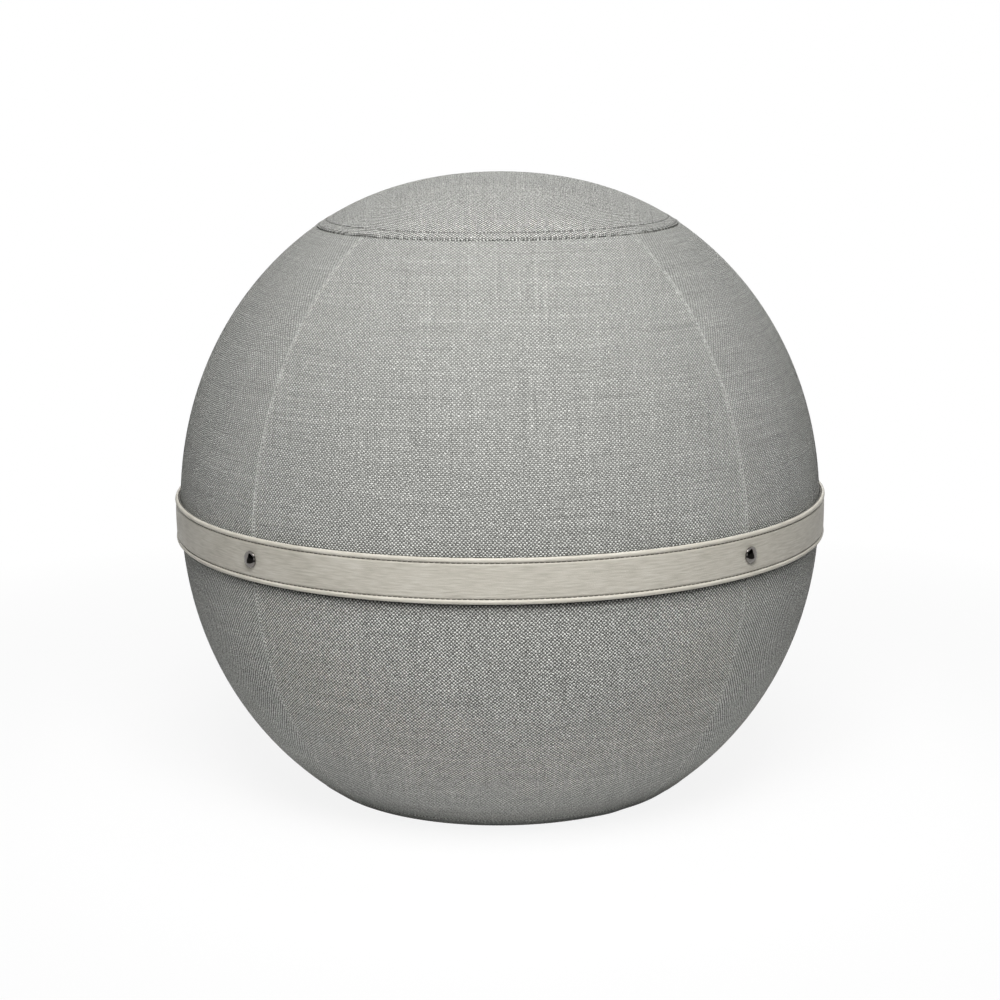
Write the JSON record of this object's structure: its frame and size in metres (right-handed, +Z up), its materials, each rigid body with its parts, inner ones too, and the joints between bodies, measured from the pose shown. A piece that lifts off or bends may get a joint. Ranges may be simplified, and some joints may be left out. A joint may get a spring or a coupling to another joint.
{
  "type": "sitting ball",
  "caption": "Inflatable sitting ball in a sewn fabric cover with gores, a crown panel, a flat weighted base, a riveted faux leather belt and a hidden zip.",
  "frame": {"origin": "on the floor, under the middle of the flat base", "axes": "+Z up through the crown; -Y is the side that the picture shows; +X is its right"},
  "size_m": [0.5584, 0.5584, 0.528],
  "materials": {
    "cover_fabric": "grey slub weave, matt",
    "base_cloth": "coated non-slip cloth",
    "bladder_vinyl": "satin vinyl",
    "valve_plug_plastic": "moulded, satin",
    "ballast_granulate": "loose grains",
    "pouch_cloth": "lining cloth",
    "zip_tape_cloth": "woven tape",
    "zip_teeth_nylon": "nylon coil",
    "zip_metal": "gunmetal lacquer",
    "belt_faux_leather": "grained, matt",
    "belt_lining_cloth": "backing cloth",
    "rivet_gunmetal": "dark nickel, satin"
  },
  "bodies": {
    "ball": {"gore_front": "cover_fabric", "gore_right": "cover_fabric", "gore_back": "cover_fabric", "gore_left": "cover_fabric", "base_panel": "base_cloth", "bladder": "bladder_vinyl", "ballast_fill": "ballast_granulate", "ballast_pouch": "pouch_cloth", "zip_tape_upper": "zip_tape_cloth", "zip_tape_lower": "zip_tape_cloth", "zip_chain_upper": "zip_teeth_nylon", "zip_chain_lower": "zip_teeth_nylon", "zip_stop_closed": "zip_metal", "zip_stop_open": "zip_metal"},
    "seat": {"crown_panel": "cover_fabric"},
    "belt": {"belt_face": "belt_faux_leather", "belt_lining": "belt_lining_cloth", "rivet_cap_1": "rivet_gunmetal", "rivet_cap_2": "rivet_gunmetal", "rivet_cap_3": "rivet_gunmetal", "rivet_cap_4": "rivet_gunmetal", "rivet_burr_1": "rivet_gunmetal", "rivet_burr_2": "rivet_gunmetal", "rivet_burr_3": "rivet_gunmetal", "rivet_burr_4": "rivet_gunmetal"},
    "zip_slider": {"zip_slider": "zip_metal"},
    "zip_pull": {"zip_pull": "zip_metal"},
    "valve_plug": {"valve_plug": "valve_plug_plastic"}
  },
  "joints": [
    {"name": "seat_sink", "type": "slide", "parent": "ball", "child": "seat", "axis": [0, 0, 1], "range_m": [-0.05, 0], "stiffness_N_per_m": 12000, "deforming": ["gore_front", "gore_right", "gore_back", "gore_left", "bladder"]},
    {"name": "belt_drop", "type": "slide", "parent": "ball", "child": "belt", "axis": [0, 0, 1], "range_m": [-0.02408, 0], "stiffness_N_per_m": 4000, "deforming": ["gore_front", "gore_right", "gore_back", "gore_left", "bladder"]},
    {"name": "zip_run", "type": "hinge", "parent": "ball", "child": "zip_slider", "pos_m": [0, 0, 0], "axis": [0, 0, 1], "range_deg": [-74.5, 0]},
    {"name": "zip_pull_flip", "type": "hinge", "parent": "zip_slider", "child": "zip_pull", "pos_m": [-0.10521, 0.14218, 0.00686], "axis": [-0.4601, 0.6218, 0.6337], "range_deg": [0, 35]},
    {"name": "valve_plug_pull", "type": "slide", "parent": "ball", "child": "valve_plug", "axis": [0, 0, -1], "range_m": [0, 0.018]}
  ],
  "couplings": [
    {"joint": "belt_drop", "follows": "seat_sink", "ratio": 0.4796}
  ]
}
